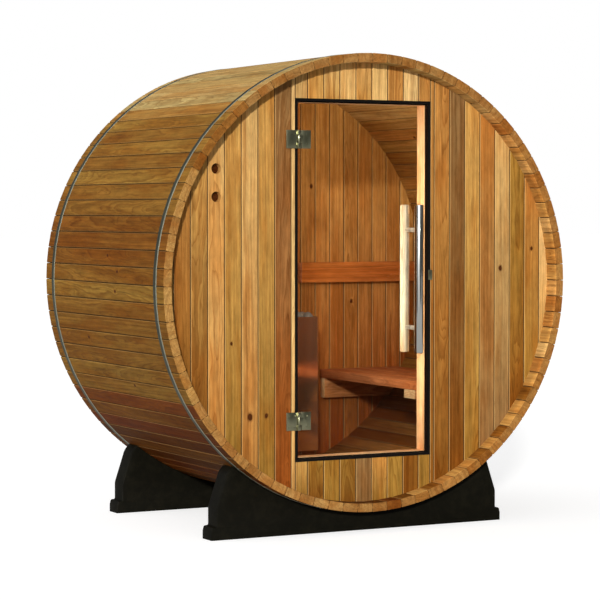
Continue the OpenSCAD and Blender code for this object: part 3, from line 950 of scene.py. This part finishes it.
rock = Finish("heater_stone")
where = rock.place()
grains = rock.cloud(where, 240, 4, 0.7)
veins = rock.fade(rock.cloud(where, 30, 4), 0.55, 0.62)
rock_colour = rock.blend(paint(66, 64, 62), paint(122, 118, 112), grains)
rock.surface({
    "Base Color": rock.blend(rock_colour, paint(150, 136, 120), veins * 0.4),
    "Roughness": 0.8 + grains * 0.15,
    "Normal": rock.relief(grains, 0.002, 0.8)})

low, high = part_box("heater_stones")
pick = random.Random(41)
shape = bmesh.new()
columns = 7
rows = 5
layers = 3
stone_sizes = (0.021, 0.026)
for layer in range(layers):
    for column in range(columns):
        for row in range(rows):
            size = pick.uniform(*stone_sizes)
            share = Vector(((column + 0.5) / columns, (row + 0.5) / rows, (layer + 0.5) / layers))
            spot = Vector([low[i] + (high[i] - low[i]) * share[i] for i in range(3)])
            spot += Vector((pick.uniform(-1, 1), pick.uniform(-1, 1), pick.uniform(-1, 1))) * 0.004
            spot = Vector([min(max(spot[i], low[i] + 0.03), high[i] - 0.028) for i in range(3)])
            turn = Matrix.Rotation(pick.uniform(0, 6), 4, (pick.random(), pick.random(), 1))
            made = bmesh.ops.create_icosphere(
                shape, subdivisions=2, radius=size,
                matrix=Matrix.Translation(spot) @ turn @ Matrix.Diagonal((1.1, 0.95, 0.8, 1)))
            for v in made["verts"]:
                away = v.co - spot
                v.co = spot + away * (0.86 + 0.3 * noise.noise(v.co * 38))
add_piece("heater_stone_heap", shape, rock.material, "barrel", ["heater_stones"], 40)

# ---- Studio ----
# A plain pale floor, white surroundings and a soft key light from the left. Three small lights
# stand inside the cabin, and three dark cards show only in the glass and the polished steel.

pale = Finish("studio_floor")
where = pale.place()
looked_at = pale.node("ShaderNodeLightPath", {}, {}, "Is Camera Ray")
pale.surface({
    "Base Color": pale.blend((0.52, 0.52, 0.52, 1), (0.55, 0.55, 0.55, 1), pale.cloud(where, 2, 2)),
    "Roughness": 0.9,
    "Specular IOR Level": 0.1,
    "Emission Color": pale.blend((0, 0, 0, 1), (0.66, 0.66, 0.66, 1), looked_at),
    "Emission Strength": 1.0})
ground = bmesh.new()
bmesh.ops.create_grid(ground, x_segments=1, y_segments=1, size=90)
ground_mesh = bpy.data.meshes.new("studio_floor")
ground.to_mesh(ground_mesh)
ground.free()
ground_mesh.materials.append(pale.material)
floor = bpy.data.objects.new("studio_floor", ground_mesh)
bpy.context.scene.collection.objects.link(floor)

scene = bpy.context.scene
scene.view_settings.view_transform = "Standard"
surroundings = bpy.data.worlds.new("studio")
surroundings.use_nodes = True
sky = surroundings.node_tree
way = sky.nodes.new("ShaderNodeTexCoord")
towards = sky.nodes.new("ShaderNodeVectorMath")
towards.operation = "DOT_PRODUCT"
towards.inputs[1].default_value = (-0.80, -0.15, 0.58)
sky.links.new(way.outputs["Generated"], towards.inputs[0])
level = sky.nodes.new("ShaderNodeMapRange")
level.interpolation_type = "SMOOTHSTEP"
level.inputs["From Min"].default_value = 0.1
level.inputs["From Max"].default_value = 0.75
level.inputs["To Min"].default_value = 0.12
level.inputs["To Max"].default_value = 0.85
sky.links.new(towards.outputs["Value"], level.inputs["Value"])
seen = sky.nodes.new("ShaderNodeLightPath")
choice = sky.nodes.new("ShaderNodeMix")
choice.inputs[3].default_value = 1.0
sky.links.new(seen.outputs["Is Camera Ray"], choice.inputs[0])
sky.links.new(level.outputs["Result"], choice.inputs[2])
sky.links.new(choice.outputs[0], sky.nodes["Background"].inputs["Strength"])
sky.nodes["Background"].inputs["Color"].default_value = (1, 1, 1, 1)
scene.world = surroundings

key = bpy.data.lights.new("key_light", "SUN")
key.energy = 3.2
key.angle = math.radians(3.5)
key.color = (1.0, 0.98, 0.94)
key_carrier = bpy.data.objects.new("key_light", key)
key_from = Vector((-0.50, -0.83, 0.26))
key_carrier.rotation_euler = (-key_from).to_track_quat("-Z", "Y").to_euler()
scene.collection.objects.link(key_carrier)


def room_light(name, width, height, watts, place, turn, spread=math.pi, shines=False):
    """A warm panel of light inside the cabin, which the camera doesn't see."""
    lamp = bpy.data.lights.new(name, "AREA")
    lamp.shape = "RECTANGLE"
    lamp.size = width
    lamp.size_y = height
    lamp.energy = watts
    lamp.spread = spread
    lamp.color = (1.0, 0.86, 0.68)
    carrier = bpy.data.objects.new(name, lamp)
    carrier.location = place
    carrier.rotation_euler = turn
    carrier.visible_camera = False
    carrier.visible_glossy = shines
    scene.collection.objects.link(carrier)


bench_aim = Vector((-0.65, 0.05, 0.75)).to_track_quat("Z", "Y").to_euler()
room_light("cabin_light", 0.5, 1.0, 10, (0, -0.42, 1.30), (math.pi / 2, 0, 0), shines=True)
room_light("bench_light", 0.4, 0.4, 2.5, (-0.35, -0.25, 1.45), bench_aim)
room_light("doorway_light", 1.2, 0.02, 3, (-0.262, -0.475, 1.0), (0, -math.pi / 2, 0),
           spread=math.radians(80))

card_h = 3.0
for name, middle, turn, width, colour in (
        ("card_right", (2.1, -6.1, 1.5), 17, 3.6, (0.030, 0.050, 0.022, 1)),
        ("card_left", (-3.6, -1.6, 1.5), -75, 1.4, (0.012, 0.012, 0.012, 1)),
        ("card_side", (3.1, -1.3, 1.5), 80, 1.6, (0.012, 0.012, 0.012, 1))):
    dull = Finish(name)
    dull.surface({
        "Base Color": dull.blend(colour, (0, 0, 0, 1), dull.cloud(dull.place(), 3, 3)),
        "Roughness": 0.9})
    stand = bmesh.new()
    upright = Matrix.Translation(middle) @ Matrix.Rotation(math.radians(turn), 4, "Z")
    upright = upright @ Matrix.Rotation(math.pi / 2, 4, "X")
    upright = upright @ Matrix.Diagonal((width / 2, card_h / 2, 1, 1))
    bmesh.ops.create_grid(stand, x_segments=1, y_segments=1, size=1, matrix=upright)
    stand_mesh = bpy.data.meshes.new(name)
    stand.to_mesh(stand_mesh)
    stand.free()
    stand_mesh.materials.append(dull.material)
    card = bpy.data.objects.new(name, stand_mesh)
    card.visible_camera = False
    card.visible_diffuse = False
    card.visible_shadow = False
    card.visible_transmission = False
    scene.collection.objects.link(card)

camera = bpy.data.cameras.new("camera")
camera.sensor_width = 36
camera.lens = 137.6
camera.clip_end = 200
viewer = bpy.data.objects.new("camera", camera)
aim = Matrix.Rotation(math.radians(-27.9), 4, "Z") @ Matrix.Rotation(math.radians(90 - 2.235), 4, "X")
viewer.matrix_world = Matrix.Translation((-4.526, -8.530, 1.288)) @ aim
scene.collection.objects.link(viewer)
scene.camera = viewer
